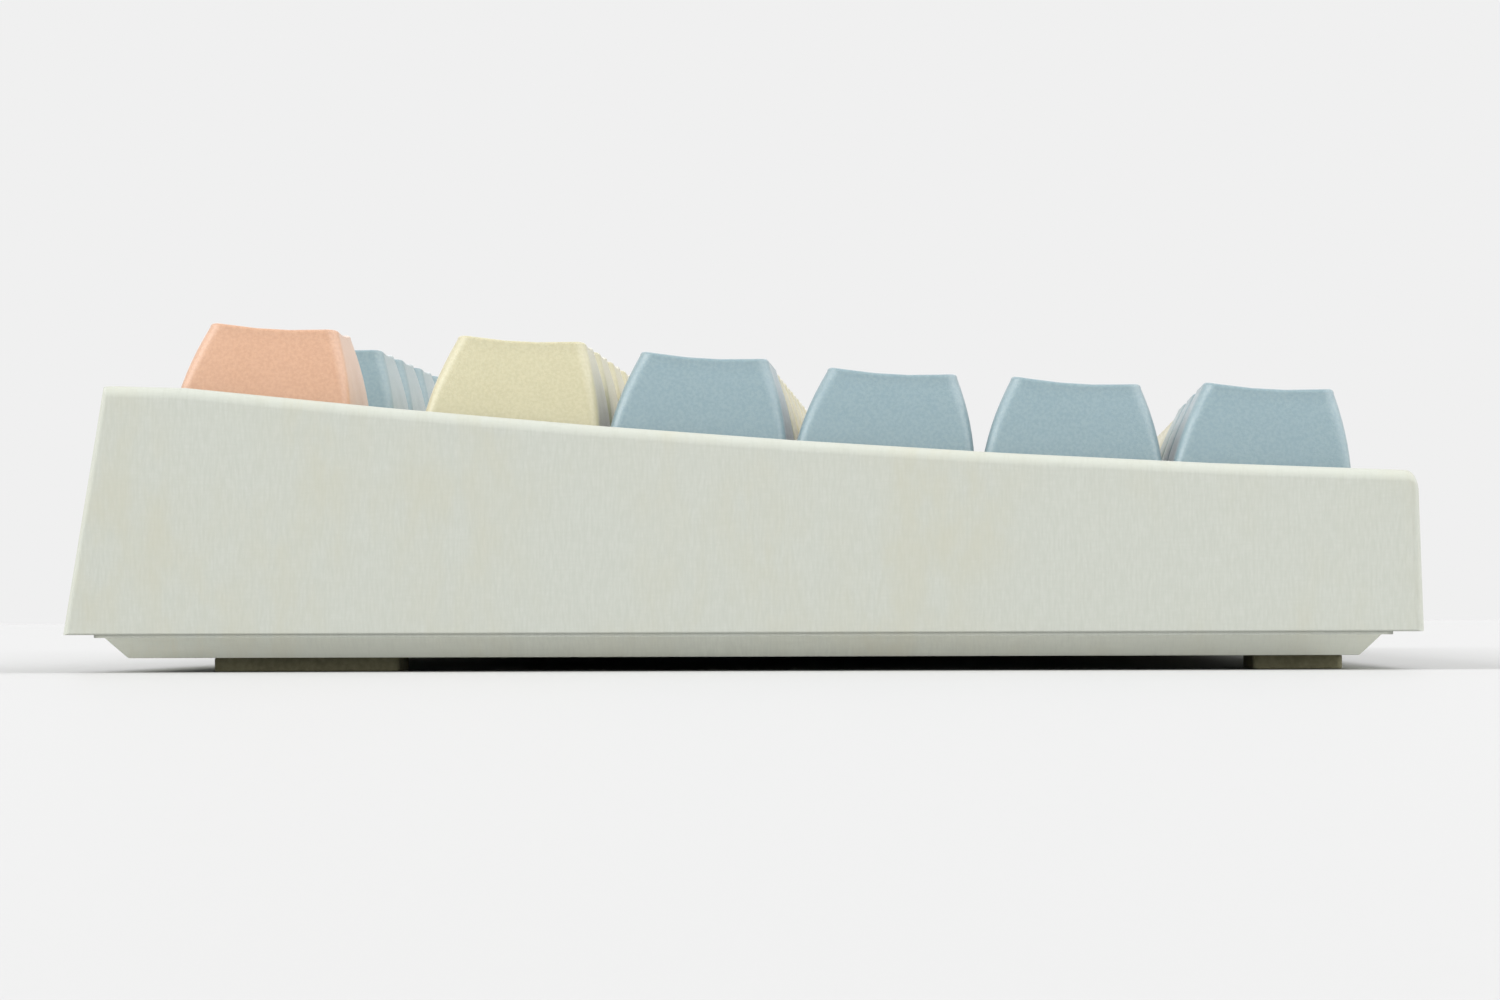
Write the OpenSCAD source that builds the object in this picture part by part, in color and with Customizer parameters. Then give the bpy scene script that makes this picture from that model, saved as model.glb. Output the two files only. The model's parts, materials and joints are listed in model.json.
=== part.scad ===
// Tenkeyless mechanical keyboard with a wedge-shaped case, 87 keys in six rows.
// X runs to the typist's right, Y away from the typist and Z up.
// The origin is on the table, under the middle of the case.
//
// The key field lies in a tilted frame: u along X, v up the slope and w square to
// the plate, with w = 0 on the plate's top face. The caps move along w.

/* [Case] */
// Width of the case, left to right
case_w = 361.4; // [361:0.2:370]
// Depth of the case at the foot of its walls
case_d = 136; // [136:0.2:142]
// Height of the rear top edge above the table
rear_h = 28.85; // [28.2:0.05:32]
// Height of the front top edge above the table
front_h = 19.8; // [19.3:0.1:21.5]
// Height of the foot of the walls above the table
wall_foot_z = 3.8; // [3.5:0.1:3.9]
// How far the rear wall leans in, from its foot to its top
rear_lean = 4.1; // [2:0.1:4.5]
// How far the front wall leans in
front_lean = 0.5; // [0:0.1:0.8]
// Flat stretch along the rear top edge, before the hollow curve starts
rear_flat = 8.2; // [5:0.2:10]
// Radius of the hollow curve that the top follows
top_arc_r = 1650; // [1400:50:3000]
// Thickness of the walls beside the plate
wall_t = 2.8; // [2.4:0.1:3]
// Width of the ring at the foot of the walls that the base plate closes
foot_ring = 7.5; // [7:0.1:8]
// Height of that ring
foot_ring_h = 3; // [2:0.1:3.1]

/* [Base plate] */
// Height of the base plate's underside above the table
base_z = 1.45; // [1:0.05:1.6]
// How far the base plate's lip stands in from the front and rear walls
base_inset = 3; // [2.5:0.1:3.5]
// How far the lip stands in from the side walls
side_inset = 0.4; // [0.3:0.1:1.5]
// Thickness of the lip
lip_h = 0.3; // [0.2:0.1:0.5]
// Step from the lip to the top of the bevelled edge, at the front and the rear
lip_step = 1.2; // [0.8:0.1:1.6]
// The same step at the sides
side_step = 0.3; // [0.2:0.1:1]

/* [Feet] */
// Length of each rubber pad
foot_l = 19; // [16:0.5:22]
// Width of each rubber pad
foot_w = 9; // [7:0.5:10]
// Distance from the outer side of the case to a pad
foot_side = 10; // [8:0.5:14]
// Distance from the rear of the case to a rear pad
foot_rear = 13.8; // [12:0.1:16]
// Distance from the front of the case to a front pad
foot_front = 7.4; // [7:0.1:8]

/* [Key field] */
// Distance between key centres
pitch = 19.05; // [19:0.05:19.05]
// Extra space between the function row and the number row
function_gap = 6.35; // [5:0.05:6.4]
// Slope of the plate
typing_angle = 3.73; // [3.6:0.01:3.9]
// Where the middle of the fourth row from the rear lies on the plate's top face
field_y = -14.13; // [-14.2:0.01:-13.8]
// Height of the plate's top face there
field_z = 17.15; // [17:0.01:17.4]
// Width of a one-unit cap at its skirt
cap_base = 18.1; // [17.8:0.05:18.2]
// How far a cap's left and right sides lean in for each millimetre of height
side_slope = 0.31; // [0.25:0.01:0.33]
// How far its front and rear lean in
end_slope = 0.26; // [0.22:0.01:0.33]
// Thickness of a cap's skirt
cap_wall = 1.3; // [1.1:0.1:1.4]
// Radius of the hollow in a cap's top
dish_r = 50; // [45:1:90]
// Travel of a key
travel = 4; // [3.2:0.1:4]

/* [Board] */
// Thickness of the switch plate
plate_t = 1.5; // [1.2:0.1:1.6]
// Thickness of the circuit board
board_t = 1.6; // [1.2:0.1:1.6]

/* [Hidden] */
// Colours
case_white = "#d7ddd3";
cream = "#ece6bd";
blue = "#9db8c4";
coral = "#f2b497";
rubber = "#5c5a4c";
steel = "#b9bcbf";
board_green = "#2f5d46";
dark_plastic = "#34363a";
stem_red = "#a8453d";
brass_gold = "#c9a24b";

// Case: y of its faces, where the walls end at the top
front_y = -case_d / 2;
rear_y = case_d / 2;
front_top_y = front_y + front_lean;
rear_top_y = rear_y - rear_lean;
rear_flat_drop = 0.25;
arc_rear = [rear_top_y - rear_flat, rear_h - rear_flat_drop];
arc_front = [front_top_y, front_h];
arc_chord = norm(arc_rear - arc_front);
arc_up = [arc_front.y - arc_rear.y, arc_rear.x - arc_front.x] / arc_chord;
arc_centre = (arc_rear + arc_front) / 2 + arc_up * sqrt(pow(top_arc_r, 2) - pow(arc_chord / 2, 2));
cavity_front_y = -64.7;
cavity_rear_y = 62;
cavity_x = case_w / 2 - wall_t;

// Key field, in units of one key: the main block is 15 wide, then a gap and 3 columns
field_u = 18.25;
main_u = 15;
nav_u = 15.25;
row_v = [for (r = [0 : 5]) (r == 0 ? 2 * pitch + function_gap + pitch : (3 - r) * pitch)];
cap_heights = [9.3, 9.55, 8.9, 8.45, 8.6, 9.2];
opening_margin = 0.2;

// Levels square to the plate, from its top face
skirt_w = 5;
board_w = -5;
board_under_w = board_w - board_t;
flange_w = 0.8;
cover_top_w = 6.6;
floor_w = -4;
boss_w = 6.8;
slider_w = floor_w + travel + 1.2;
pole_w = -1.3;
cross_top_w = 10.2;
spring_top_w = 4.5;
stem_hollow_w = 4.6;
cap_roof = 2.1;
crown_r = 30;

// Plate and board outline
plate_x = cavity_x - 0.3;
plate_front_v = -50.5;
plate_rear_v = 75.7;
board_x = 174.4;
board_front_v = -47.4;
board_rear_v = 74.2;
cutout = 14;

// Switch: outer sizes, the hollows in both halves, and the round guide for the stem's pole
body_size = 13.9;
flange_size = 15.2;
body_hollow = 11;
cover_size = 14.4;
cover_lean = 0.325;
cover_hollow = 9.2;
cover_mouth = [7.4, 6.8];
cover_roof = 1;
post_r = 1.95;
post_h = 2.8;
guide_r = 1.8;
guide_hole_r = 1.15;
spring_r = 2.45;
spring_wire = 0.4;
stem_size = [7, 6.4];
stem_shoulder = 8.6;
stem_hollow_r = 2.75;
pole_r = 0.9;
cross_long = 4;
cross_thick = [1.25, 1.15];
socket_gap = 0.1;
boss_r = 2.8;
pin_drop = 3.3;
pin_places = [[-3.81, 2.54], [2.54, 5.08]];
diode_place = [6.2, 0];

// Stabiliser: the wire's bar is its pivot, and each arm rises to a knee and then to its tip
wire_r = 0.7;
arm_r = 0.65;
wire_gap = 0.1;
bar_place = [-8.2, -2.4];
knee_place = [-5.2, 2.11];
tip_place = [1.5, 3.59];
stab_u = 6.8;
stab_cutout = [[-3.7, -9.4], [3.7, 6.4]];
clip_u = [-3.2, -1.6];
slider = [[-2.1, -3], [2.1, 3.6]];
slider_top_w = 6.4;
slider_slot_w = [1.5, 5.5];
stab_v = [-6.8, 6];
stab_top_w = 2.4;
stab_floor_w = board_w + 0.8;
stab_slider_w = stab_floor_w + travel + 0.3;

// Screws
case_screw_x = [-135, -45, 45, 135];
case_screw_y = [-57.5, 57.5];
case_screw_r = 1.45;
case_screw_head_r = 2.8;
lug_r = 3.5;
lug_end_y = 62;
plate_screw_r = 0.75;
plate_screw_head_r = 1.4;
side_screw_x = 175.9;
plate_screw_places = concat(
    [for (s = [-1, 1], v = [-30, 20, 60]) [s * side_screw_x, v]],
    [for (s = [-1, 1]) [s * 60, -49.1]],
    [for (s = [-1, 1]) [s * 60, 74.3]]
);

// Inlet in the rear wall, between the first two keys of the rear row
inlet_u = (1.5 - field_u / 2) * pitch;
inlet_shell = [8.9, 7.3, 3.2];
inlet_wall = 0.3;
inlet_recess = [12.8, 6.4];
inlet_mouth_v = 75.8;
inlet_w = board_w + inlet_shell.z / 2;

// Each key: name, row counted from the rear, left edge, width, colour
function run(names, row, first, tone) =
    [for (i = [0 : len(names) - 1]) [names[i], row, first + i, 1, tone]];

single_keys = concat(
    [
        ["escape", 0, 0, 1, coral],
        ["backquote", 1, 0, 1, cream],
        ["backspace", 1, 13, 2, blue],
        ["tab", 2, 0, 1.5, blue],
        ["caps_lock", 3, 0, 1.75, blue],
        ["enter", 3, 12.75, 2.25, blue],
        ["left_shift", 4, 0, 2.25, blue],
        ["right_shift", 4, 12.25, 2.75, blue],
        ["left_control", 5, 0, 1.25, blue],
        ["space", 5, 3.75, 6.25, cream]
    ],
    run(["q", "w", "e", "r", "t", "y", "u", "i", "o", "p"], 2, 1.5, cream),
    run(["a", "s", "d", "f", "g", "h", "j", "k", "l"], 3, 1.75, cream),
    run(["z", "x", "c", "v", "b", "n", "m"], 4, 2.25, cream)
);

function_row_keys = concat(
    run(["f1", "f2", "f3", "f4"], 0, 2, blue),
    run(["f5", "f6", "f7", "f8"], 0, 6.5, blue),
    run(["f9", "f10", "f11", "f12"], 0, 11, blue),
    run(["print_screen", "scroll_lock", "pause"], 0, nav_u, blue)
);

number_and_symbol_keys = concat(
    run(["1", "2", "3", "4", "5", "6", "7", "8", "9", "0", "minus", "equals"], 1, 1, cream),
    run(["left_bracket", "right_bracket"], 2, 11.5, cream),
    run(["semicolon", "quote"], 3, 10.75, cream),
    run(["comma", "full_stop", "slash"], 4, 9.25, cream)
);

modifier_keys = concat(
    [["backslash", 2, 13.5, 1.5, blue]],
    [for (x = [1.25, 2.5, 10, 11.25, 12.5, 13.75]) ["modifier", 5, x, 1.25, blue]]
);

navigation_keys = concat(
    run(["insert", "home", "page_up"], 1, nav_u, blue),
    run(["delete", "end", "page_down"], 2, nav_u, blue),
    run(["up"], 4, nav_u + 1, blue),
    run(["left", "down", "right"], 5, nav_u, blue)
);

all_keys = concat(single_keys, function_row_keys, number_and_symbol_keys, modifier_keys,
    navigation_keys);
wide_keys = [for (k = single_keys) if (k[3] >= 2) k];

// Openings in the top of the case: left and right edges and rows, counted from the rear
openings = [
    [0, 1, 0, 0], [2, 6, 0, 0], [6.5, 10.5, 0, 0], [11, 15, 0, 0], [nav_u, field_u, 0, 0],
    [0, main_u, 1, 5], [nav_u, field_u, 1, 2], [nav_u + 1, nav_u + 2, 4, 5],
    [nav_u, field_u, 5, 5]
];

function key_u(k) = (k[2] + k[3] / 2 - field_u / 2) * pitch;
function key_v(k) = row_v[k[1]];
function key_width(k) = (k[3] - 1) * pitch + cap_base;
function stab_offset(k) = k[3] > 3 ? 50 : 11.94;

// A box around the w axis, between two levels
module block(size_u, size_v, low, high)
    translate([-size_u / 2, -size_v / 2, low]) cube([size_u, size_v, high - low]);

// A box from one corner to the other
module span(a, b)
    translate(a) cube(b - a);

// A block whose sides lean in, by one slope along u and another along v
module frustum(size_u, size_v, high, slope_u, slope_v) {
    in_u = slope_u * high;
    in_v = slope_v * high;
    intersection() {
        rotate([90, 0, 0]) linear_extrude(size_v, center = true)
            polygon([[-size_u / 2, 0], [size_u / 2, 0], [size_u / 2 - in_u, high],
                [in_u - size_u / 2, high]]);
        rotate([90, 0, 90]) linear_extrude(size_u, center = true)
            polygon([[-size_v / 2, 0], [size_v / 2, 0], [size_v / 2 - in_v, high],
                [in_v - size_v / 2, high]]);
    }
}

module rounded_rect(size_x, size_y, r) {
    square([size_x - 2 * r, size_y], center = true);
    square([size_x, size_y - 2 * r], center = true);
    for (x = [-1, 1], y = [-1, 1])
        translate([x * (size_x / 2 - r), y * (size_y / 2 - r)]) circle(r, $fn = 32);
}

// Puts children into the tilted frame of the key field
module on_plate()
    translate([0, field_y, field_z]) rotate([typing_angle, 0, 0]) children();

module at_key(k)
    on_plate() translate([key_u(k), key_v(k), 0]) children();

module at_stabilisers(k)
    for (side = [-1, 1])
        at_key(k) mirror([side > 0 ? 0 : 1, 0, 0]) translate([stab_offset(k), 0, 0]) children();

// ---- Case ----

module case_profile()
    difference() {
        polygon([[front_y, wall_foot_z], [rear_y, wall_foot_z], [rear_top_y, rear_h], arc_rear,
            arc_front]);
        translate(arc_centre) circle(top_arc_r, $fn = 1440);
    }

function plate_z(y) = field_z + (y - field_y) * tan(typing_angle);

module case_hollow() {
    ring_top = wall_foot_z + foot_ring_h;
    rotate([90, 0, 90]) linear_extrude(2 * cavity_x, center = true)
        polygon([[cavity_front_y, ring_top], [cavity_front_y, plate_z(cavity_front_y)],
            [cavity_rear_y, plate_z(cavity_rear_y)], [cavity_rear_y, ring_top]]);
    span([foot_ring - case_w / 2, foot_ring - case_d / 2, wall_foot_z - 1],
        [case_w / 2 - foot_ring, case_d / 2 - foot_ring, ring_top + 0.01]);
}

module key_opening(o)
    on_plate() span(
        [(o[0] - field_u / 2) * pitch - opening_margin,
            row_v[o[3]] - pitch / 2 - opening_margin, -1],
        [(o[1] - field_u / 2) * pitch + opening_margin,
            row_v[o[2]] + pitch / 2 + opening_margin, 20]);

module case_lugs() {
    top = wall_foot_z + foot_ring_h;
    for (x = case_screw_x, y = case_screw_y) {
        translate([x, y, wall_foot_z]) cylinder(foot_ring_h, r = lug_r, $fn = 48);
        span([x - lug_r, min(y, sign(y) * lug_end_y), wall_foot_z],
            [x + lug_r, max(y, sign(y) * lug_end_y), top]);
    }
}

module inlet_cut()
    on_plate() translate([inlet_u, board_rear_v, inlet_w]) rotate([-90, 0, 0])
        linear_extrude(12) rounded_rect(inlet_recess.x, inlet_recess.y, inlet_recess.y / 2 - 0.01);

module case_top()
    color(case_white) difference() {
        union() {
            difference() {
                rotate([90, 0, 90]) linear_extrude(case_w, center = true) case_profile();
                case_hollow();
            }
            case_lugs();
        }
        for (o = openings) key_opening(o);
        inlet_cut();
        for (x = case_screw_x, y = case_screw_y)
            translate([x, y, wall_foot_z - 1]) cylinder(3.8, r = case_screw_r + 0.05, $fn = 24);
        for (p = plate_screw_places)
            on_plate() translate([p.x, p.y, -0.5]) cylinder(4.3, r = plate_screw_r + 0.05, $fn = 24);
    }

module case_bottom() {
    bevel_h = wall_foot_z - lip_h - base_z;
    color(case_white) difference() {
        union() {
            translate([0, 0, wall_foot_z - lip_h])
                linear_extrude(lip_h)
                rounded_rect(case_w - 2 * side_inset, case_d - 2 * base_inset, 1);
            translate([0, 0, wall_foot_z - lip_h]) mirror([0, 0, 1])
                frustum(case_w - 2 * (side_inset + side_step),
                    case_d - 2 * (base_inset + lip_step), bevel_h, 1, 1);
        }
        for (x = case_screw_x, y = case_screw_y) translate([x, y, base_z]) {
            translate([0, 0, -0.1]) cylinder(4, r = case_screw_r + 0.15, $fn = 24);
            translate([0, 0, -0.1])
                cylinder(1.5, r1 = case_screw_head_r + 0.3, r2 = case_screw_r + 0.15, $fn = 32);
        }
    }
}

// Eight countersunk screws with hexagon sockets
module case_screws()
    color(steel) for (x = case_screw_x, y = case_screw_y) translate([x, y, base_z + 0.05])
        difference() {
            union() {
                cylinder(1.35, r1 = case_screw_head_r, r2 = case_screw_r, $fn = 32);
                cylinder(4.7, r = case_screw_r, $fn = 24);
            }
            translate([0, 0, -0.1]) cylinder(1, r = 1.15, $fn = 6);
        }

module rubber_feet() {
    side_x = case_w / 2 - foot_side;
    color(rubber) linear_extrude(base_z) for (s = [-1, 1]) {
        translate([s * (side_x - foot_w / 2), rear_y - foot_rear - foot_l / 2])
            rounded_rect(foot_w, foot_l, 0.6);
        translate([s * (side_x - foot_l / 2), front_y + foot_front + foot_w / 2])
            rounded_rect(foot_l, foot_w, 0.6);
    }
}

// ---- Plate and board ----

module switch_plate()
    color(steel) difference() {
        on_plate() span([-plate_x, plate_front_v, -plate_t], [plate_x, plate_rear_v, 0]);
        for (k = all_keys) at_key(k) block(cutout, cutout, -plate_t - 1, 1);
        for (k = wide_keys) at_stabilisers(k)
            span(concat(stab_cutout[0], -plate_t - 1), concat(stab_cutout[1], 1));
        for (p = plate_screw_places)
            on_plate() translate([p.x, p.y, -plate_t - 1])
                cylinder(plate_t + 2, r = plate_screw_r + 0.25, $fn = 24);
    }

// Ten small screws, driven up through the plate's edge into the case
module plate_screws()
    color(steel) for (p = plate_screw_places)
        on_plate() translate([p.x, p.y, -plate_t]) difference() {
            union() {
                translate([0, 0, -1.2]) cylinder(1.2, r = plate_screw_head_r, $fn = 24);
                cylinder(5, r = plate_screw_r, $fn = 24);
            }
            block(3, 0.4, -1.3, -0.7);
        }

module circuit_board()
    color(board_green) difference() {
        on_plate() span([-board_x, board_front_v, board_under_w], [board_x, board_rear_v, board_w]);
        for (k = all_keys) at_key(k) {
            translate([0, 0, board_under_w - 1]) cylinder(board_t + 2, r = post_r + 0.1, $fn = 24);
            for (p = pin_places)
                translate([p.x, p.y, board_under_w - 1]) cylinder(board_t + 2, r = 0.75, $fn = 16);
        }
    }

module controller_chip()
    color(dark_plastic) on_plate() {
        translate([-60, 50.6, 0]) block(7, 7, board_under_w - 0.9, board_under_w);
        translate([-50, 50.6, 0]) block(3.2, 2.5, board_under_w - 0.8, board_under_w);
        translate([-70, 50.6, 0]) block(5, 4, board_under_w - 1.1, board_under_w);
    }

module key_diodes()
    color(dark_plastic) for (k = all_keys) at_key(k)
        translate([diode_place.x, diode_place.y, 0])
            block(2.6, 1.6, board_under_w - 1.1, board_under_w);

// The shell of the socket, with the tongue inside it
module usb_inlet()
    color(steel) on_plate()
        translate([inlet_u, inlet_mouth_v, inlet_w]) rotate([90, 0, 0]) {
            difference() {
                linear_extrude(inlet_shell.y) rounded_rect(inlet_shell.x, inlet_shell.z, 1.5);
                translate([0, 0, -1]) linear_extrude(inlet_shell.y - 0.5)
                    rounded_rect(inlet_shell.x - 2 * inlet_wall, inlet_shell.z - 2 * inlet_wall, 1.25);
            }
            block(6.6, 0.7, 0.7, inlet_shell.y - 1);
        }

// ---- Switches ----

// Lower half: clips into the plate and stands on the board, with the guide for the stem's pole
module lower_housing()
    difference() {
        union() {
            difference() {
                union() {
                    block(body_size, body_size, board_w, flange_w);
                    block(flange_size, flange_size, 0, flange_w);
                }
                block(body_hollow, body_hollow, floor_w, flange_w + 1);
            }
            translate([0, 0, board_w - post_h]) cylinder(post_h + 0.7, r = post_r, $fn = 24);
            translate([0, 0, floor_w - 0.5]) cylinder(3.5, r = guide_r, $fn = 24);
        }
        translate([0, 0, board_w - 2]) cylinder(8, r = guide_hole_r, $fn = 24);
        for (p = pin_places) translate(p) block(1.2, 0.5, board_w - 1, floor_w + 1);
    }

module upper_housing()
    difference() {
        translate([0, 0, flange_w])
            frustum(cover_size, cover_size, cover_top_w - flange_w, cover_lean, cover_lean);
        block(cover_hollow, cover_hollow, flange_w - 1, cover_top_w - cover_roof);
        block(cover_mouth.x, cover_mouth.y, 0, cover_top_w + 1);
    }

module switch_housings()
    color(dark_plastic) for (k = all_keys) at_key(k) lower_housing();

module switch_covers()
    color("#ded9cf") for (k = all_keys) at_key(k) upper_housing();

// Each spring stands on the housing's floor, round the guide, and pushes up the stem
module switch_springs()
    color(brass_gold) for (k = all_keys) at_key(k)
        translate([0, 0, floor_w]) difference() {
            cylinder(spring_top_w - floor_w, r = spring_r, $fn = 24);
            translate([0, 0, -1])
                cylinder(spring_top_w - floor_w + 2, r = spring_r - spring_wire, $fn = 24);
        }

// Fixed and moving contact of each switch, with the pins that are soldered to the board
module switch_contacts()
    color(brass_gold) for (k = all_keys) at_key(k) {
        translate(pin_places[0]) block(1, 0.3, board_w - pin_drop, floor_w + 0.7);
        translate(pin_places[1]) {
            block(1, 0.3, board_w - pin_drop, floor_w + 0.1);
            block(2.4, 0.3, floor_w + 0.05, 0.4);
        }
    }

module cross(low, high) {
    block(cross_long, cross_thick[0], low, high);
    block(cross_thick[1], cross_long, low, high);
}

module switch_stem() {
    difference() {
        union() {
            block(stem_size.x, stem_size.y, slider_w, cover_top_w);
            block(stem_shoulder, stem_size.y, 4, cover_top_w - cover_roof - 0.1);
            cross(cover_top_w - 0.1, cross_top_w);
        }
        cylinder(stem_hollow_w, r = stem_hollow_r, $fn = 24);
    }
    translate([0, 0, pole_w]) cylinder(6, r = pole_r, $fn = 24);
}

// ---- Stabilisers ----

module stab_housing()
    difference() {
        union() {
            span([-stab_u / 2, stab_v[0], board_w], [stab_u / 2, stab_v[1], stab_top_w]);
            span([clip_u[0], bar_place.x - 1.1, bar_place.y - 1.2],
                [clip_u[1], stab_v[0] + 0.1, bar_place.y + 1.3]);
        }
        span([-2.5, stab_v[0] + 0.9, stab_floor_w], [2.5, stab_v[1] - 0.8, stab_top_w + 1]);
        span([-1.1, stab_v[0] - 0.1, board_w - 1], [1.1, stab_v[0] + 1, stab_top_w + 1]);
        translate([-3.5, bar_place.x, bar_place.y]) rotate([0, 90, 0])
            cylinder(2.2, r = wire_r + wire_gap, $fn = 24);
    }

module stabiliser_housings()
    color(dark_plastic) for (k = wide_keys) at_stabilisers(k) stab_housing();

// The slotted slider under each end of a wide cap, which the wire's tip lifts
module stab_stem() {
    difference() {
        span(concat(slider[0], stab_slider_w), concat(slider[1], slider_top_w));
        span([-1, slider[0].y - 1, slider_slot_w[0]], [1, slider[1].y + 1.4, slider_slot_w[1]]);
    }
    cross(slider_top_w - 0.1, cross_top_w);
}

// One straight piece of an arm, from a to b in the v-w plane
module arm_piece(a, b, r)
    translate([0, a.x, a.y]) rotate([atan2(b.y - a.y, b.x - a.x) - 90, 0, 0])
        cylinder(norm(b - a), r = r, $fn = 24);

module stabiliser_wire(k)
    color(steel) {
        at_key(k) translate([-stab_offset(k) - wire_r, bar_place.x, bar_place.y])
            rotate([0, 90, 0]) cylinder(2 * (stab_offset(k) + wire_r), r = wire_r, $fn = 24);
        at_stabilisers(k) {
            arm_piece(bar_place, knee_place, arm_r);
            translate([0, knee_place.x, knee_place.y]) sphere(wire_r, $fn = 32);
            arm_piece(knee_place, tip_place, arm_r);
        }
    }

// ---- Keys ----

module cap_boss(roof_w)
    difference() {
        translate([0, 0, boss_w]) cylinder(roof_w - boss_w + 0.4, r = boss_r, $fn = 32);
        block(cross_long + socket_gap, cross_thick[0] + socket_gap, boss_w - 1, cross_top_w + 0.2);
        block(cross_thick[1] + socket_gap, cross_long + socket_gap, boss_w - 1, cross_top_w + 0.2);
    }

// What is cut from a cap's top: a round hollow in a one-unit cap, a trough in a wider one
module dish(k, width, high) {
    half_u = cap_base / 2 - side_slope * high;
    half_v = cap_base / 2 - end_slope * high;
    if (k[3] == 1)
        translate([0, 0, skirt_w + high + sqrt(pow(dish_r, 2) - pow(half_u, 2) - pow(half_v, 2))])
            sphere(dish_r, $fn = 360);
    else
        translate([0, 0, skirt_w + high + sqrt(pow(dish_r, 2) - pow(half_v, 2))])
            rotate([0, 90, 0]) cylinder(width, r = dish_r, center = true, $fn = 360);
}

// A cap's outer shape before its top is hollowed. Only the space bar's top is crowned.
module cap_block(k, width, high)
    if (k[0] == "space")
        intersection() {
            translate([0, 0, skirt_w]) frustum(width, cap_base, high, side_slope, end_slope);
            translate([0, 0, skirt_w + high - crown_r])
                rotate([0, 90, 0]) cylinder(width, r = crown_r, center = true, $fn = 360);
        }
    else
        translate([0, 0, skirt_w]) frustum(width, cap_base, high, side_slope, end_slope);

// Hollow cap with its skirt at skirt_w
module cap(k) {
    width = key_width(k);
    high = cap_heights[k[1]];
    roof_w = skirt_w + high - cap_roof;
    difference() {
        cap_block(k, width, high);
        translate([0, 0, skirt_w - 0.01])
            frustum(width - 2 * cap_wall, cap_base - 2 * cap_wall, high - cap_roof, side_slope,
                end_slope);
        if (k[0] != "space") dish(k, width, high);
    }
    cap_boss(roof_w);
    if (k[3] >= 2) for (s = [-1, 1]) translate([s * stab_offset(k), 0, 0]) cap_boss(roof_w);
}

module one_key(k) {
    color(k[4]) at_key(k) cap(k);
    color(stem_red) at_key(k) switch_stem();
    if (k[3] >= 2) color(stem_red) at_stabilisers(k) stab_stem();
}

module key_bank(keys)
    for (k = keys) one_key(k);

case_top();
case_bottom();
case_screws();
rubber_feet();
switch_plate();
plate_screws();
circuit_board();
switch_housings();
switch_covers();
switch_springs();
switch_contacts();
stabiliser_housings();
usb_inlet();
controller_chip();
key_diodes();
for (k = wide_keys) stabiliser_wire(k);
for (k = single_keys) one_key(k);
key_bank(function_row_keys);
key_bank(number_and_symbol_keys);
key_bank(modifier_keys);
key_bank(navigation_keys);
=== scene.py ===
import json
import math

import bmesh
import bpy
from mathutils import Matrix, Vector


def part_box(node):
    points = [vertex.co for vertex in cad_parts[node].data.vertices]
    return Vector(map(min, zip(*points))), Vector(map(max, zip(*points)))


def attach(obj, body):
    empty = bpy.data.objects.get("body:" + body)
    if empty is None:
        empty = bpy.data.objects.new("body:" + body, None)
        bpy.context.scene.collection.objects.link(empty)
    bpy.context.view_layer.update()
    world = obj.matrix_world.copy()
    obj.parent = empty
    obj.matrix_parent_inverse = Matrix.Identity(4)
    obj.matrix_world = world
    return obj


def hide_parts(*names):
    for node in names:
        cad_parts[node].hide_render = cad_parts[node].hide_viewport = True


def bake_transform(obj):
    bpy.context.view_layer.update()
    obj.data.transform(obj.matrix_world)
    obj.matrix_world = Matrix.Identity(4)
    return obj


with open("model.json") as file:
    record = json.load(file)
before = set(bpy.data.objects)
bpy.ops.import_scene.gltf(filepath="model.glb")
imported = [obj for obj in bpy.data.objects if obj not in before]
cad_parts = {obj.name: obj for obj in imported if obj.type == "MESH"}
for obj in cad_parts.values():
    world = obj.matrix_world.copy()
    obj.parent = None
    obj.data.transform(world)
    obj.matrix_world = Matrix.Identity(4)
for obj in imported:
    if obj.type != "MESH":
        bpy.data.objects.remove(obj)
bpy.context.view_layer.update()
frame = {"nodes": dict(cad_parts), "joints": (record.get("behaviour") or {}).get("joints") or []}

MM = 0.001
nodes = frame["nodes"]
joints = {j["name"]: j for j in frame["joints"]}

# ---- The tilted frame of the key field: u along X, v up the slope, w square to the plate ----
PITCH = 19.05
FUNCTION_GAP = 6.35
ROW_V = [3 * PITCH + FUNCTION_GAP] + [(3 - r) * PITCH for r in range(1, 6)]
FIELD_U = 18.25
NORMAL = Vector(joints["press_q"]["axis"])
SLOPE = Vector((0, NORMAL.z, -NORMAL.y))
# Where a stabiliser wire's bar lies from the middle of its key
BAR_V, BAR_W = -8.2, -2.4
pivot = Vector(joints["swing_space"]["pos_m"])
FIELD = pivot - SLOPE * (ROW_V[5] + BAR_V) * MM - NORMAL * BAR_W * MM
FIELD.x = 0
TO_FIELD = Matrix.Translation(FIELD) @ Matrix((Vector((1, 0, 0)), SLOPE, NORMAL)).transposed().to_4x4()

# ---- Keys: row from the rear, left edge and width in key pitches ----
KEYS = {}


def add_key(name, row, left, width, tone, node):
    KEYS[name] = {"row": row, "left": left, "width": width, "tone": tone, "node": node}


def add_run(names, row, first, tone, node=None):
    for i, name in enumerate(names):
        add_key(name, row, first + i, 1, tone, node or "key_" + name)


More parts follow.
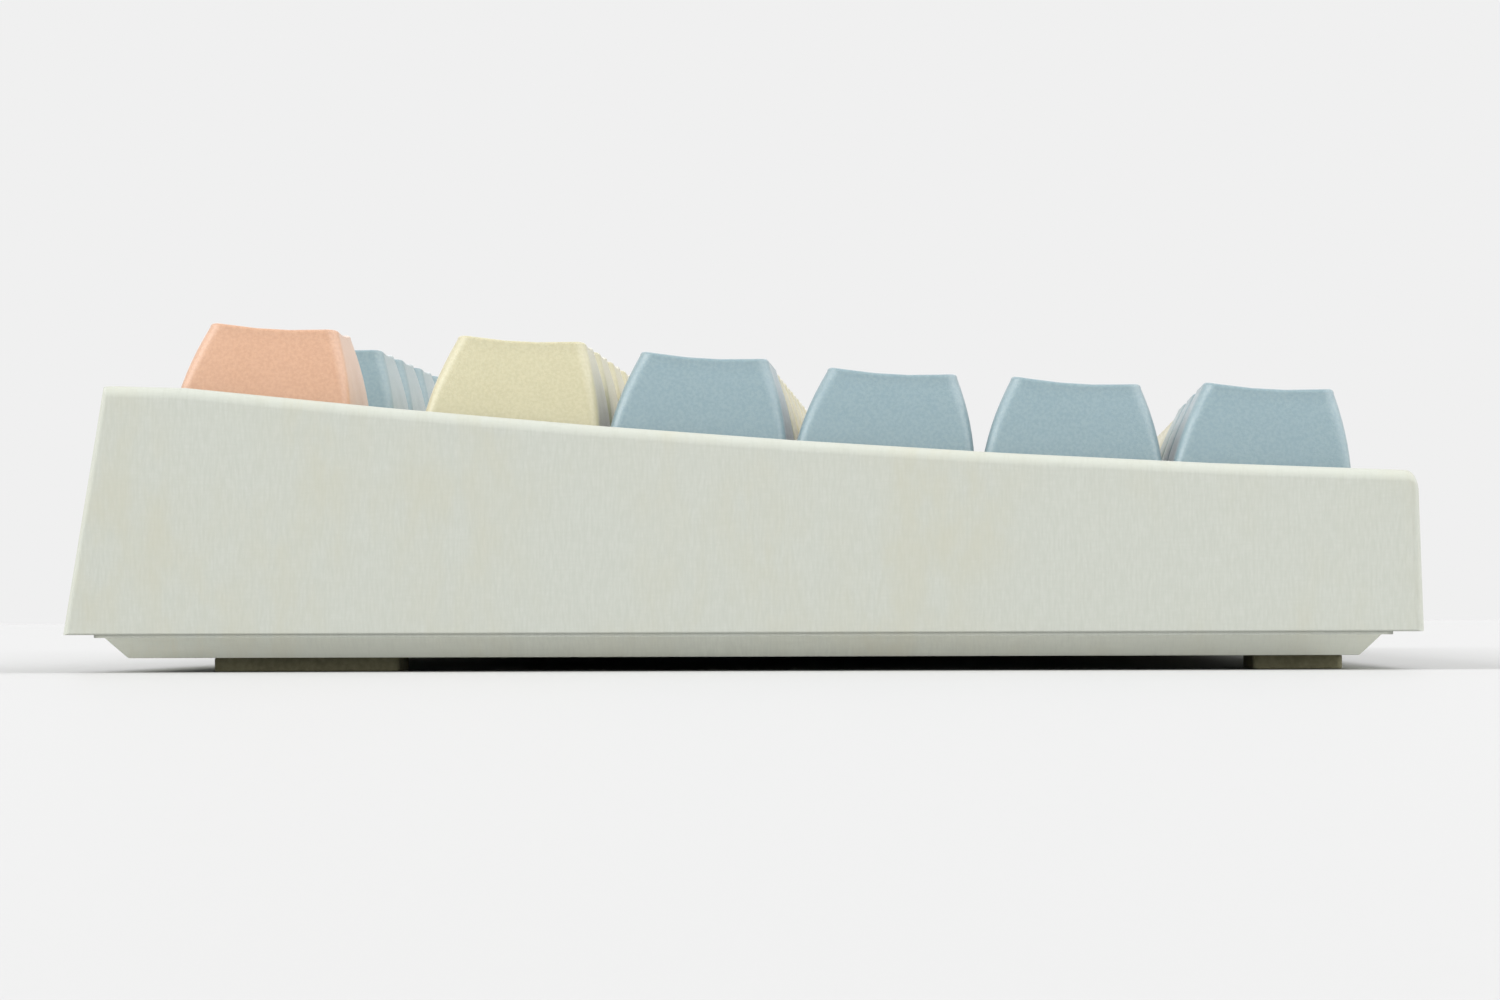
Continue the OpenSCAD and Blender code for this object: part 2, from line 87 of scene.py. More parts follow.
for name, row, left, width, tone in (
        ("escape", 0, 0, 1, "coral"), ("backquote", 1, 0, 1, "cream"), ("backspace", 1, 13, 2, "blue"),
        ("tab", 2, 0, 1.5, "blue"), ("caps_lock", 3, 0, 1.75, "blue"), ("enter", 3, 12.75, 2.25, "blue"),
        ("left_shift", 4, 0, 2.25, "blue"), ("right_shift", 4, 12.25, 2.75, "blue"),
        ("left_control", 5, 0, 1.25, "blue"), ("space", 5, 3.75, 6.25, "cream")):
    add_key(name, row, left, width, tone, "key_" + name)
add_run("qwertyuiop", 2, 1.5, "cream")
add_run("asdfghjkl", 3, 1.75, "cream")
add_run("zxcvbnm", 4, 2.25, "cream")
for first, names in ((2, "f1 f2 f3 f4"), (6.5, "f5 f6 f7 f8"), (11, "f9 f10 f11 f12"),
                     (15.25, "print_screen scroll_lock pause")):
    add_run(names.split(), 0, first, "blue", "function_row_keys")
for row, first, names in ((1, 1, "1 2 3 4 5 6 7 8 9 0 minus equals"),
                          (2, 11.5, "left_bracket right_bracket"),
                          (3, 10.75, "semicolon quote"), (4, 9.25, "comma full_stop slash")):
    add_run(names.split(), row, first, "cream", "number_and_symbol_keys")
add_key("backslash", 2, 13.5, 1.5, "blue", "modifier_keys")
for i, left in enumerate((1.25, 2.5, 10, 11.25, 12.5, 13.75)):
    add_key("modifier_%d" % (i + 1), 5, left, 1.25, "blue", "modifier_keys")
for row, first, names in ((1, 15.25, "insert home page_up"), (2, 15.25, "delete end page_down"),
                          (4, 16.25, "up"), (5, 15.25, "left down right")):
    add_run(names.split(), row, first, "blue", "navigation_keys")


def key_place(key):
    """The key field's frame, moved to the point on the plate's top face under a key's middle."""
    u = (key["left"] + key["width"] / 2 - FIELD_U / 2) * PITCH
    return TO_FIELD @ Matrix.Translation((u * MM, ROW_V[key["row"]] * MM, 0))


# ---- Materials ----
def srgb(r, g, b):
    """A colour given as it shows on a screen, 0 to 255, as linear values."""
    shown = [c / 255 for c in (r, g, b)]
    return tuple(c / 12.92 if c <= 0.04045 else ((c + 0.055) / 1.055) ** 2.4 for c in shown) + (1,)


class Look:
    """A material's node tree, with short calls for the nodes that it is made of."""

    def __init__(self, name, rough=0.5, metallic=0.0, specular=0.5):
        self.m = bpy.data.materials.new(name)
        self.m.use_nodes = True
        self.tree = self.m.node_tree
        self.bsdf = self.tree.nodes["Principled BSDF"]
        self.bsdf.inputs["Roughness"].default_value = rough
        self.bsdf.inputs["Metallic"].default_value = metallic
        self.bsdf.inputs["Specular IOR Level"].default_value = specular
        self.coords = self.tree.nodes.new("ShaderNodeTexCoord").outputs["Object"]

    def node(self, kind, **settings):
        n = self.tree.nodes.new(kind)
        for key, value in settings.items():
            setattr(n, key, value)
        return n

    def put(self, value, socket):
        if isinstance(value, bpy.types.NodeSocket):
            self.tree.links.new(value, socket)
        else:
            socket.default_value = value

    def math(self, operation, a, b=0.0):
        n = self.node("ShaderNodeMath", operation=operation)
        for value, socket in zip((a, b), n.inputs):
            self.put(value, socket)
        return n.outputs[0]

    def scaled(self, vector, scale):
        n = self.node("ShaderNodeMapping")
        self.put(vector, n.inputs["Vector"])
        n.inputs["Scale"].default_value = scale
        return n.outputs[0]

    def noise(self, vector, scale, detail, rough=0.5):
        n = self.node("ShaderNodeTexNoise")
        self.put(vector, n.inputs["Vector"])
        n.inputs["Scale"].default_value = scale
        n.inputs["Detail"].default_value = detail
        n.inputs["Roughness"].default_value = rough
        return n.outputs["Fac"]

    def ramp(self, value, low, high, a=0.0, b=1.0):
        """Runs from a to b, eased, as value goes from low to high."""
        n = self.node("ShaderNodeMapRange", interpolation_type="SMOOTHSTEP")
        for v, socket in zip((value, low, high, a, b), n.inputs):
            self.put(v, socket)
        return n.outputs[0]

    def mix(self, factor, a, b):
        n = self.node("ShaderNodeMix", data_type="RGBA")
        self.put(factor, n.inputs["Factor"])
        self.put(a, n.inputs["A"])
        self.put(b, n.inputs["B"])
        return n.outputs["Result"]

    def mix_vector(self, factor, a, b):
        n = self.node("ShaderNodeMix", data_type="VECTOR")
        self.put(factor, n.inputs["Factor"])
        self.put(a, n.inputs[4])
        self.put(b, n.inputs[5])
        return n.outputs[1]

    def color(self, value):
        self.put(value, self.bsdf.inputs["Base Color"])

    def rough(self, value):
        self.put(value, self.bsdf.inputs["Roughness"])

    def bump(self, height, distance, strength):
        n = self.node("ShaderNodeBump")
        n.inputs["Strength"].default_value = strength
        n.inputs["Distance"].default_value = distance
        self.put(height, n.inputs["Height"])
        return n.outputs[0]

    def normal(self, value):
        self.put(value, self.bsdf.inputs["Normal"])


def linen_paint(name, pale, deep, cream):
    """White paint over a fine upright grain, with a faint cross weave, creamy streaks and painted shade
    in the grain on the rounded edges.
    """
    k = Look(name, rough=0.5, specular=0.4)
    axes = k.node("ShaderNodeSeparateXYZ")
    k.put(k.coords, axes.inputs[0])
    facing = k.node("ShaderNodeSeparateXYZ")
    k.put(k.node("ShaderNodeNewGeometry").outputs["Normal"], facing.inputs[0])
    end_wall = k.ramp(k.math("ABSOLUTE", facing.outputs["Y"]), 0.6, 0.8)
    swapped = k.node("ShaderNodeCombineXYZ")
    for i, axis in enumerate(("Y", "X", "Z")):
        k.put(axes.outputs[axis], swapped.inputs[i])
    vector = k.mix_vector(end_wall, k.coords, swapped.outputs[0])
    grain = k.noise(k.scaled(vector, (0.16, 1, 0.16)), 3800, 2, 0.6)
    fine = k.noise(k.scaled(vector, (0.2, 1, 0.2)), 7500, 1, 0.5)
    weave = k.noise(k.scaled(vector, (1, 0.14, 1)), 3900, 2, 0.6)
    streak = k.noise(k.scaled(vector, (0.4, 1, 0.4)), 330, 3, 0.6)
    blotch = k.noise(k.scaled(vector, (0.6, 1, 0.6)), 80, 3, 0.55)
    base = k.mix(k.ramp(grain, 0.25, 0.75), deep, pale)
    base = k.mix(k.math("MULTIPLY", k.ramp(weave, 0.35, 0.7), 0.4), base, deep)
    patch = k.math("MULTIPLY", k.ramp(blotch, 0.36, 0.72), k.ramp(streak, 0.3, 0.7))
    base = k.mix(k.math("MULTIPLY", patch, 0.5), base, cream)
    # painted shade: the grain darkens the paint only on the rounded edges, where the top edge's
    # highlight lies, for the shade of its small notches
    upright = k.math("ABSOLUTE", facing.outputs["Z"])
    rounded = k.math("MULTIPLY", k.ramp(upright, 0.12, 0.4), k.ramp(upright, 0.98, 0.9))
    painted_notch_shade = k.math("MULTIPLY", rounded, k.ramp(grain, 0.5, 0.62))
    base = k.mix(k.math("MULTIPLY", painted_notch_shade, 0.55), base, deep)
    k.color(base)
    k.rough(k.ramp(grain, 0.3, 0.7, 0.42, 0.6))
    height = k.math("ADD", k.math("MULTIPLY", grain, 0.6), k.math("MULTIPLY", fine, 0.25))
    height = k.math("ADD", height, k.math("MULTIPLY", weave, 0.35))
    k.normal(k.bump(height, 0.00002, 0.5))
    return k.m


def cap_plastic(name, tone, deep):
    """Matt plastic with a fine moulded texture, in two close tones that drift over it."""
    k = Look(name, rough=0.4, specular=0.6)
    texture = k.noise(k.coords, 6500, 2, 0.6)
    speckle = k.noise(k.coords, 3000, 2, 0.55)
    cloud = k.noise(k.coords, 160, 3, 0.5)
    base = k.mix(k.ramp(speckle, 0.3, 0.7), deep, tone)
    base = k.mix(k.math("MULTIPLY", k.ramp(cloud, 0.4, 0.7), 0.3), base, deep)
    k.color(base)
    k.rough(k.ramp(cloud, 0.3, 0.7, 0.36, 0.46))
    k.bsdf.inputs["Subsurface Weight"].default_value = 0.08
    k.bsdf.inputs["Sheen Weight"].default_value = 0.55
    k.bsdf.inputs["Sheen Roughness"].default_value = 0.35
    k.bsdf.inputs["Subsurface Radius"].default_value = (0.0012, 0.0009, 0.0006)
    k.bsdf.inputs["Subsurface Scale"].default_value = 1.0
    k.normal(k.bump(texture, 0.00003, 0.8))
    return k.m


def moulded(name, tone, deep, rough, grain=2500, depth=0.00002, specular=0.5):
    """Moulded plastic or rubber: two close tones, uneven gloss and a fine grain."""
    k = Look(name, rough=rough, specular=specular)
    speckle = k.noise(k.coords, grain, 2, 0.6)
    cloud = k.noise(k.coords, grain * 0.05, 3, 0.5)
    both = k.math("ADD", k.math("MULTIPLY", speckle, 0.5), k.math("MULTIPLY", cloud, 0.5))
    k.color(k.mix(k.ramp(both, 0.35, 0.65), deep, tone))
    k.rough(k.ramp(cloud, 0.3, 0.7, rough - 0.08, rough + 0.08))
    k.normal(k.bump(speckle, depth, 0.6))
    return k.m


def metal(name, tone, deep, rough, brushed=(1, 1, 1), scale=2500):
    """Metal with fine marks, drawn out along one axis where it is brushed or drawn."""
    k = Look(name, rough=rough, metallic=1.0)
    marks = k.noise(k.scaled(k.coords, brushed), scale, 3, 0.6)
    stain = k.noise(k.coords, 90, 3, 0.5)
    k.color(k.mix(k.ramp(stain, 0.35, 0.7), tone, deep))
    k.rough(k.ramp(marks, 0.25, 0.75, rough - 0.1, rough + 0.12))
    k.normal(k.bump(marks, 0.00001, 0.5))
    return k.m


def circuit_green():
    """Solder mask with the raised lines of tracks under it and the weave of the glass."""
    k = Look("board_mask", rough=0.32)
    tracks = k.node("ShaderNodeTexBrick", offset=0.35, squash=1.6)
    k.put(k.coords, tracks.inputs["Vector"])
    tracks.inputs["Scale"].default_value = 260
    tracks.inputs["Mortar Size"].default_value = 0.06
    weave = k.noise(k.scaled(k.coords, (1, 0.2, 1)), 4000, 1, 0.5)
    line = tracks.outputs["Fac"]
    mask = k.mix(k.ramp(weave, 0.3, 0.7), srgb(18, 62, 40), srgb(24, 74, 48))
    k.color(k.mix(line, mask, srgb(40, 104, 66)))
    k.normal(k.bump(line, 0.00004, 0.6))
    return k.m


CREAM = cap_plastic("cap_cream_plastic", srgb(176, 171, 142), srgb(168, 163, 134))
BLUE = cap_plastic("cap_blue_plastic", srgb(122, 141, 146), srgb(112, 133, 140))
CORAL = cap_plastic("cap_coral_plastic", srgb(183, 145, 118), srgb(174, 136, 110))
CAPS = {"cream": CREAM, "blue": BLUE, "coral": CORAL}
PAINT = linen_paint("case_paint", srgb(177, 180, 172), srgb(169, 172, 163), srgb(172, 170, 151))
# The base plate's paint is a brighter copy of the case's paint: painted light, lifting the base's bevel,
# which faces down into shade
BASE_PAINT_PAINTED_LIGHT = linen_paint("base_paint_painted_light", srgb(238, 241, 228), srgb(229, 232, 219), srgb(231, 228, 206))
STEM = moulded("stem_plastic", srgb(176, 58, 50), srgb(158, 48, 42), 0.3, depth=0.00001)
STEEL_WIRE = metal("drawn_wire", srgb(205, 203, 198), srgb(176, 174, 168), 0.25, (0.1, 1, 1), 4000)
FINISH = {
    "rubber_feet": moulded("foot_rubber", srgb(146, 142, 114), srgb(126, 122, 95),
                           0.75, 1800, 0.00006, 0.3),
    "switch_plate": metal("plate_anodised", srgb(188, 191, 194), srgb(168, 171, 176), 0.42),
    "circuit_board": circuit_green(),
    "switch_housings": moulded("housing_nylon", srgb(44, 45, 49), srgb(33, 34, 37), 0.5, 3500),
    "switch_covers": moulded("cover_plastic", srgb(206, 204, 196), srgb(190, 188, 180),
                             0.28, 3500, 0.00001),
    "switch_contacts": metal("contact_copper", srgb(214, 160, 106), srgb(184, 126, 82), 0.3),
    "controller_chip": moulded("chip_epoxy", srgb(40, 40, 43), srgb(28, 28, 31), 0.55, 5000),
    "usb_inlet": metal("socket_steel", srgb(198, 199, 201), srgb(168, 169, 172), 0.3, (1, 1, 0.1), 5000),
    "case_screws": metal("screw_steel", srgb(150, 151, 154), srgb(118, 119, 123), 0.34),
}
FINISH["stabiliser_housings"] = FINISH["switch_housings"]
FINISH["key_diodes"] = FINISH["controller_chip"]
FINISH["plate_screws"] = FINISH["case_screws"]


def show_as(obj, finish):
    """Puts a finish in all the material slots of a CAD node."""
    for slot in obj.material_slots:
        slot.material = finish


for name, finish in FINISH.items():
    show_as(nodes[name], finish)


# ---- Mesh helpers ----
WELD = 2e-6
EDGE_ANGLE = math.radians(28)


def piece(name, mesh_or_bm, finish, smooth=35):
    """A new object in the scene, from a mesh or from a bmesh that it uses up."""
    if isinstance(mesh_or_bm, bmesh.types.BMesh):
        mesh = bpy.data.meshes.new(name)
        bmesh.ops.recalc_face_normals(mesh_or_bm, faces=mesh_or_bm.faces)
        mesh_or_bm.to_mesh(mesh)
        mesh_or_bm.free()
        mesh.shade_smooth()
        mesh.set_sharp_from_angle(angle=math.radians(smooth))
        mesh.materials.append(finish)
    else:
        mesh = mesh_or_bm
    obj = bpy.data.objects.new(name, mesh)
    bpy.context.scene.collection.objects.link(obj)
    return obj


def cad_copy(node):
    """A copy of a CAD node's mesh with its facets joined into whole faces."""
    bm = bmesh.new()
    bm.from_mesh(nodes[node].data)
    bmesh.ops.remove_doubles(bm, verts=bm.verts, dist=WELD)
    bmesh.ops.dissolve_limit(bm, angle_limit=math.radians(0.2), verts=bm.verts, edges=bm.edges)
    return bm


def soften(bm, wanted, width, segments):
    """Rounds the convex edges that pass the test."""
    edges = [e for e in bm.edges if len(e.link_faces) == 2 and e.calc_face_angle(0) > EDGE_ANGLE
             and e.is_convex and wanted(e)]
    bmesh.ops.bevel(bm, geom=edges, offset=width, offset_type="OFFSET", segments=segments, profile=0.5,
                    affect="EDGES", clamp_overlap=False)


# ---- Case, base plate and pads: the CAD shapes with their edges rounded ----
case_low, case_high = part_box("case_top")
FACING = 0.9
# How far from the case's box each outer surface can lie, and how far up the top starts
SIDE_NEAR, FRONT_NEAR, REAR_NEAR, FOOT_NEAR = 2e-5, 0.001, 0.005, 0.0001
TOP_ABOVE = 0.012


def outer_kind(face):
    """Names the outer surface of the case that a face belongs to, if any."""
    c, n = face.calc_center_median(), face.normal
    if abs(n.x) > FACING and case_high.x - abs(c.x) < SIDE_NEAR:
        return "side"
    if n.y < -FACING and c.y < case_low.y + FRONT_NEAR:
        return "front"
    if n.y > FACING and c.y > case_high.y - REAR_NEAR:
        return "rear"
    if n.z > FACING and c.z > case_low.z + TOP_ABOVE:
        return "top"
    if n.z < -FACING and c.z < case_low.z + FOOT_NEAR:
        return "foot"
    return ""


ROUNDING = {("front", "top"): 0.0019, ("rear", "top"): 0.0009, ("side", "top"): 0.0012,
            ("front", "side"): 0.0009, ("rear", "side"): 0.0007}
FOOT_ROUNDING, OPENING_ROUNDING = 0.0002, 0.0004
PLATE_ROUNDING, PAD_ROUNDING = 0.00012, 0.0002
ROUNDING_STEPS = 6
UPRIGHT = 0.2


def case_rounding(e):
    """How far an edge of the case is rounded."""
    kinds = [outer_kind(f) for f in e.link_faces]
    if "foot" in kinds:
        return FOOT_ROUNDING if "" not in kinds and kinds[0] != kinds[1] else 0
    if "top" in kinds and "" in kinds:
        return OPENING_ROUNDING if abs(e.link_faces[kinds.index("")].normal.z) < UPRIGHT else 0
    return ROUNDING.get(tuple(sorted(kinds)), 0)


def round_edges(bm, width_of, widest, segments):
    """Rounds each edge by its own width, with corners that blend the widths, in a new bmesh."""
    weight = bm.edges.layers.float.new("bevel_weight_edge")
    for e in bm.edges:
        if len(e.link_faces) == 2 and e.calc_face_angle(0) > EDGE_ANGLE and e.is_convex:
            e[weight] = width_of(e) / widest
    mesh = bpy.data.meshes.new("rounding")
    bm.to_mesh(mesh)
    bm.free()
    obj = bpy.data.objects.new("rounding", mesh)
    bpy.context.scene.collection.objects.link(obj)
    bevel = obj.modifiers.new("bevel", "BEVEL")
    bevel.limit_method, bevel.width, bevel.segments = "WEIGHT", widest, segments
    bevel.use_clamp_overlap = False
    rounded = bmesh.new()
    rounded.from_object(obj, bpy.context.evaluated_depsgraph_get())
    bpy.data.objects.remove(obj)
    bpy.data.meshes.remove(mesh)
    return rounded


FLATNESS = 90


def keep_flats(obj):
    """Leaves the wide flat faces flat to the light, so that only the rounded edges turn."""
    normals = obj.modifiers.new("normals", "WEIGHTED_NORMAL")
    normals.weight = FLATNESS
    normals.keep_sharp = True


bm = round_edges(cad_copy("case_top"), case_rounding, max(ROUNDING.values()), ROUNDING_STEPS)
case = piece("upper_case", bm, PAINT)
keep_flats(case)
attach(case, "case")
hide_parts("case_top")

LONG_EDGE = 0.05
LIP_BAND = 0.0004


def runs_far(e):
    """Whether an edge runs along most of the base plate, as those of holes don't."""
    a, b = (v.co for v in e.verts)
    return abs(a.y - b.y) > LONG_EDGE or abs(a.x - b.x) > LONG_EDGE


bm = cad_copy("case_bottom")
base_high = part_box("case_bottom")[1]
soften(bm, runs_far, PLATE_ROUNDING, 2)
# the lip's sides, which carry the case's paint
for f in bm.faces:
    on_lip = f.calc_center_median().z > base_high.z - LIP_BAND
    f.material_index = int(abs(f.normal.z) < 0.5 and on_lip)
# the base plate takes the brighter copy of the case's paint, which is painted light
base = piece("base_plate", bm, BASE_PAINT_PAINTED_LIGHT)
base.data.materials.append(PAINT)
keep_flats(base)
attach(base, "case")
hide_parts("case_bottom")

bm = cad_copy("rubber_feet")
soften(bm, lambda e: True, PAD_ROUNDING, 2)
pads = piece("rubber_pads", bm, FINISH["rubber_feet"])
keep_flats(pads)
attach(pads, "case")
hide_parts("rubber_feet")

# ---- Caps: skirts that lean in, soft rims and dished tops, in millimetres ----
SKIRT_W = 5.0
HEIGHTS = (9.3, 9.55, 8.9, 8.45, 8.6, 9.2)
# Where the top's rear and front edges are, for each row: the sculpted rows lean differently
TOP_REAR = (6.5, 6.4, 6.6, 6.45, 6.8, 6.35)
TOP_FRONT = (6.85, 6.9, 6.6, 6.85, 6.5, 7.0)
SIDE_LEAN, END_LEAN = 0.31, 0.26
CAP_HALF = 9.05
WALL = 1.3
ROOF = 2.1
DISH_R, CROWN_R = 50.0, 30.0
RIM_R = 0.5
BULGE = 0.3
CORNER_R = 1.5
FOOT_IN, FOOT_UP = 0.25, 0.2
BOSS_W, BOSS_R, BOSS_SIDES = 6.8, 2.8, 24
# The socket's arms: how far they reach, and half the width of the one along u and the one along v
ARM, ARM_U, ARM_V = 2.05, 0.675, 0.625
SLIDER_U, SPACE_SLIDER_U = 11.94, 50
SPACE_WIDER_THAN, SLIDERS_FROM = 3, 2
# Rings inside, from the roof to the foot: how far up they lie, and how far in from the wall
INSIDE = ((1.0, 0.9), (0.97, 0.25), (0.85, 0.0), (0.5, 0.0), (0.0, 0.0))
OUTSIDE = (0.0, 0.1, 0.25, 0.4, 0.55, 0.7, 0.85, 1.0)
RIM_STEPS = 5
DISH = (0.88, 0.68, 0.45, 0.22)


def ring(half_u, front, rear, radius, corner=6, side=3):
    """Points round a rectangle with rounded corners, anticlockwise from the right side's middle."""
    points = []
    corners = ((half_u - radius, rear - radius, 0), (radius - half_u, rear - radius, 90),
               (radius - half_u, radius - front, 180), (half_u - radius, radius - front, 270))
    for i, (cu, cv, start) in enumerate(corners):
        turns = [math.radians(start + 90 * s / corner) for s in range(corner + 1)]
        arc = [(cu + radius * math.cos(turn), cv + radius * math.sin(turn)) for turn in turns]
        points += arc
        nu, nv, nstart = corners[(i + 1) % 4]
        to = (nu + radius * math.cos(math.radians(nstart)), nv + radius * math.sin(math.radians(nstart)))
        for s in range(1, side):
            points.append(tuple(a + (b - a) * s / side for a, b in zip(arc[-1], to)))
    return points


def skin(bm, loops, close_first=False, close_last=False):
    """Faces between successive rings of vertices that have the same number of points."""
    for a, b in zip(loops, loops[1:]):
        for i in range(len(a)):
            j = (i + 1) % len(a)
            bm.faces.new((a[i], a[j], b[j], b[i]))
    if close_first:
        bm.faces.new(loops[0])
    if close_last:
        bm.faces.new(list(reversed(loops[-1])))


def boss(bm, u, roof_w):
    """The round post under the cap's roof, with the cross-shaped socket for the stem."""
    turns = [math.tau * i / BOSS_SIDES for i in range(BOSS_SIDES)]
    circle = [(math.cos(turn), math.sin(turn)) for turn in turns]
    outer = [[bm.verts.new(((u + BOSS_R * x) * MM, BOSS_R * y * MM, w * MM)) for x, y in circle]
             for w in (BOSS_W, roof_w + 0.3)]
    a, b, c = ARM, ARM_U, ARM_V
    cross = [(a, -b), (a, b), (c, b), (c, a), (-c, a), (-c, b),
             (-a, b), (-a, -b), (-c, -b), (-c, -a), (c, -a), (c, -b)]
    inner = [[bm.verts.new(((u + x) * MM, y * MM, w * MM)) for x, y in cross]
             for w in (BOSS_W, roof_w - 0.2)]
    skin(bm, outer, close_last=True)
    skin(bm, inner, close_last=True)
    rims = [e for loop in (outer[0], inner[0]) for e in {e for v in loop for e in v.link_edges}
            if all(abs(v.co.z - BOSS_W * MM) < 1e-7 for v in e.verts)]
    bmesh.ops.bridge_loops(bm, edges=rims)


def cap_mesh(row, width):
    """A cap as one skin, with a post under its roof for the stem and for each slider."""
    high = HEIGHTS[row]
    extra = (width - 1) * PITCH / 2
    base_u = CAP_HALF + extra
    top_u = base_u - SIDE_LEAN * high
    top_f, top_r = TOP_FRONT[row], TOP_REAR[row]
    half_u, half_v = CAP_HALF - SIDE_LEAN * high, CAP_HALF - END_LEAN * high
    bm = bmesh.new()

    def dip(u, v):
        """How far the top lies below the cap's corners, or on the space bar below its crown."""
        if width > SPACE_WIDER_THAN:
            return CROWN_R - math.sqrt(CROWN_R ** 2 - v * v)
        if width == 1:
            edge = math.sqrt(DISH_R ** 2 - half_u ** 2 - half_v ** 2)
            return math.sqrt(DISH_R ** 2 - u * u - v * v) - edge
        return math.sqrt(DISH_R ** 2 - v * v) - math.sqrt(DISH_R ** 2 - half_v ** 2)

    rim = ring(top_u, top_f, top_r, CORNER_R)
    tops = [high - max(0.0, dip(u, v)) for u, v in rim]
    loops = []

    def add(points, heights):
        loops.append([bm.verts.new((u * MM, v * MM, (SKIRT_W + w) * MM))
                      for (u, v), w in zip(points, heights)])

    # inside, from the roof down to the skirt's foot
    inside_high = high - ROOF
    for t, shrink in INSIDE:
        in_v = CAP_HALF - WALL - END_LEAN * inside_high * t - shrink
        points = ring(base_u - WALL - SIDE_LEAN * inside_high * t - shrink, in_v, in_v, 1.0)
        add(points, [inside_high * t] * len(points))
    # outside, up to the rim
    add(ring(base_u - FOOT_IN, CAP_HALF - FOOT_IN, CAP_HALF - FOOT_IN, 1.3), [0.0] * len(rim))
    for t in OUTSIDE:
        swell = BULGE * 4 * t * (1 - t)
        points = ring(base_u + (top_u - base_u) * t + swell, CAP_HALF + (top_f - CAP_HALF) * t + swell,
                      CAP_HALF + (top_r - CAP_HALF) * t + swell, CORNER_R - 0.4 * (1 - t))
        add(points, [FOOT_UP + (top - RIM_R - FOOT_UP) * t for top in tops])
    # the rim, rounded over
    for s in range(1, RIM_STEPS + 1):
        turn = math.radians(90 * s / RIM_STEPS)
        inset = RIM_R * (1 - math.cos(turn))
        points = ring(top_u - inset, top_f - inset, top_r - inset, CORNER_R - inset * 0.6)
        add(points, [high - max(0.0, dip(u, v)) - RIM_R * (1 - math.sin(turn)) for u, v in points])
    # the dished top
    inner = ring(top_u - RIM_R, top_f - RIM_R, top_r - RIM_R, CORNER_R - RIM_R * 0.6)
    for s in DISH:
        points = [(u * s, v * s) for u, v in inner]
        add(points, [high - max(0.0, dip(u, v)) for u, v in points])
    skin(bm, loops, close_first=True, close_last=True)
    boss(bm, 0, SKIRT_W + inside_high)
    if width >= SLIDERS_FROM:
        offset = SPACE_SLIDER_U if width > SPACE_WIDER_THAN else SLIDER_U
        boss(bm, -offset, SKIRT_W + inside_high)
        boss(bm, offset, SKIRT_W + inside_high)
    return bm


cap_shapes = {}
for name, key in KEYS.items():
    shape = (key["row"], key["width"], key["tone"])
    if shape not in cap_shapes:
        made = piece("shape", cap_mesh(key["row"], key["width"]), CAPS[key["tone"]], smooth=50)
        cap_shapes[shape] = made.data
        bpy.data.objects.remove(made)
    cap = piece("cap_" + name, cap_shapes[shape], None)
    cap.matrix_world = key_place(key)
    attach(cap, key["node"])
    key["cap"] = cap

# ---- Stems and sliders: the CAD solids that reach no higher than the cap's socket ----
STEM_TOP = 10.5
key_nodes = sorted({key["node"] for key in KEYS.values()})
from_field = TO_FIELD.inverted()


def solids(bm):
    """The vertices of each separate solid in a mesh."""
    seen = set()
    for start in bm.verts:
        if start in seen:
            continue
        group, front = [], [start]
        seen.add(start)
        while front:
            v = front.pop()
            group.append(v)
            for e in v.link_edges:
                other = e.other_vert(v)
                if other not in seen:
                    seen.add(other)
                    front.append(other)
        yield group


for node in key_nodes:
    bm = bmesh.new()
    bm.from_mesh(nodes[node].data)
    bmesh.ops.remove_doubles(bm, verts=bm.verts, dist=WELD)
    caps_found = []
    for group in solids(bm):
        if max((from_field @ v.co).z for v in group) > STEM_TOP * MM:
            caps_found += group
    bmesh.ops.delete(bm, geom=caps_found, context="VERTS")
    bmesh.ops.dissolve_limit(bm, angle_limit=math.radians(1), verts=bm.verts, edges=bm.edges)
    stems = piece("stems_" + node, bm, STEM, smooth=30)
    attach(stems, node)
    for key in KEYS.values():
        if key["node"] == node:
            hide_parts(node)

# ---- Springs: a wound wire for each switch ----
SPRING_LOW, SPRING_HIGH = -4.0, 4.5
SPRING_R, SPRING_WIRE = 2.25, 0.17
TURNS, STEPS, SIDES = 9, 14, 5
# The end turns lie almost flat: how much of a turn, and the rise of a whole one in wire radii
END_TURN, END_RISE = 0.8, 2.2


def coil(bm, place):
    """A helix with its end turns closed up, round the w axis."""
    loops = []
    for i in range(TURNS * STEPS + 1):
        turn = i / STEPS
        angle = math.tau * turn
        t = min(max((turn - END_TURN) / (TURNS - 2 * END_TURN), 0), 1)
        flat = (min(turn, END_TURN) + max(turn - TURNS + END_TURN, 0)) * SPRING_WIRE * END_RISE
        low = SPRING_LOW + SPRING_WIRE
        w = low + flat + t * (SPRING_HIGH - SPRING_LOW - 2 * SPRING_WIRE
                              - 2 * END_TURN * SPRING_WIRE * END_RISE)
        ring_points = []
        for s in range(SIDES):
            a = math.tau * s / SIDES
            r = SPRING_R + SPRING_WIRE * math.cos(a)
            point = Vector((r * math.cos(angle) * MM, r * math.sin(angle) * MM,
                            (w + SPRING_WIRE * math.sin(a)) * MM))
            ring_points.append(bm.verts.new(place @ point))
        loops.append(ring_points)
    skin(bm, loops, close_first=True, close_last=True)


for node in key_nodes:
    bm = bmesh.new()
    for key in KEYS.values():
        if key["node"] == node:
            coil(bm, key_place(key))
    spring = piece("springs_" + node, bm, STEEL_WIRE, smooth=80)
    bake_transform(spring)
    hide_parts("switch_springs")

for name in nodes:
    if name.startswith("wire_"):
        show_as(nodes[name], STEEL_WIRE)

